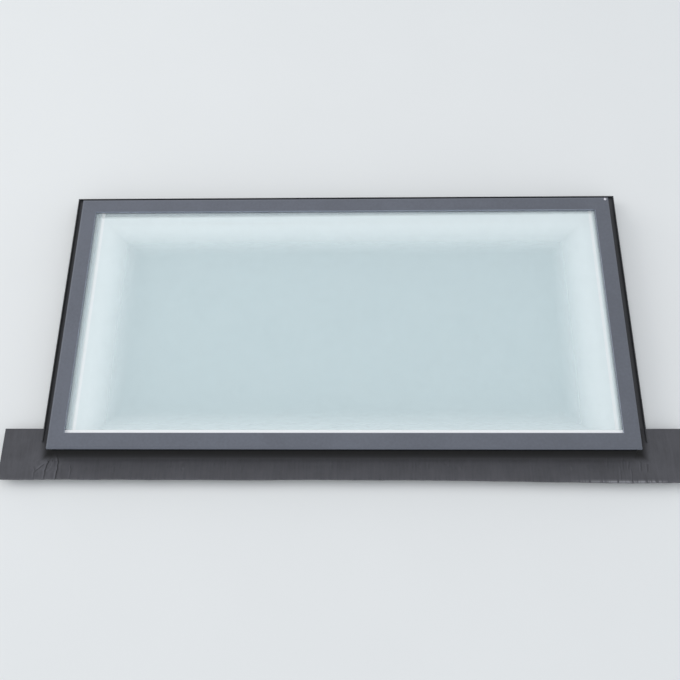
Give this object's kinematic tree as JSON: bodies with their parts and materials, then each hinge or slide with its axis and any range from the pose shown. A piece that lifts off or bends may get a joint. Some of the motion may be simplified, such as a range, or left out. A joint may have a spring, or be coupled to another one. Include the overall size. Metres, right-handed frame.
{
  "type": "roof skylight",
  "caption": "Large fixed skylight for a pitched roof: aluminium capping round one insulating glass unit on a timber kerb, with a lead apron and gutters.",
  "frame": {"origin": "centre of the kerb's base plane, which is the centre of every bolt pattern of its fixing brackets", "axes": "+X along the sill to the right seen from outside, +Y up the roof slope, +Z out of the roof"},
  "size_m": [4.7, 2.26, 0.202],
  "materials": {
    "timber": "planed spruce, white primer on the inner face",
    "capping_coat": "satin powder coat",
    "mill_aluminium": "mill finish extrusion",
    "polyamide": "matt",
    "epdm": "matt",
    "glass": "polished",
    "spacer_foam": "matt",
    "sealant": "matt",
    "block_plastic": "matt",
    "foam": "extruded foam",
    "lead": "dull patinated sheet",
    "gutter_coat": "matt coil coat",
    "galvanised": "zinc spangle",
    "screw_steel": "zinc plated"
  },
  "bodies": {
    "root": {"apron": "lead", "bedding_seal": "epdm", "bracket_screws": "screw_steel", "cant_strip": "timber", "cap_corner_plates": "mill_aluminium", "cap_head": "capping_coat", "cap_left": "capping_coat", "cap_right": "capping_coat", "cap_sill": "capping_coat", "carrier_head": "mill_aluminium", "carrier_left": "mill_aluminium", "carrier_right": "mill_aluminium", "carrier_screws": "screw_steel", "carrier_sill": "mill_aluminium", "collar_head": "foam", "collar_left": "foam", "collar_right": "foam", "collar_sill": "foam", "corner_cleats": "mill_aluminium", "edge_seal": "sealant", "fixing_brackets": "galvanised", "head_gutter": "gutter_coat", "inner_gasket": "epdm", "inner_pane": "glass", "isolator_head": "polyamide", "isolator_left": "polyamide", "isolator_right": "polyamide", "isolator_sill": "polyamide", "kerb_head": "timber", "kerb_left": "timber", "kerb_right": "timber", "kerb_screws": "screw_steel", "kerb_sill": "timber", "location_blocks": "block_plastic", "outer_gasket": "epdm", "outer_pane": "glass", "pressure_plate_head": "mill_aluminium", "pressure_plate_left": "mill_aluminium", "pressure_plate_right": "mill_aluminium", "pressure_plate_sill": "mill_aluminium", "pressure_screws": "screw_steel", "setting_blocks": "block_plastic", "side_gutter_left": "gutter_coat", "side_gutter_right": "gutter_coat", "spacer_bar": "spacer_foam"}
  },
  "joints": []
}
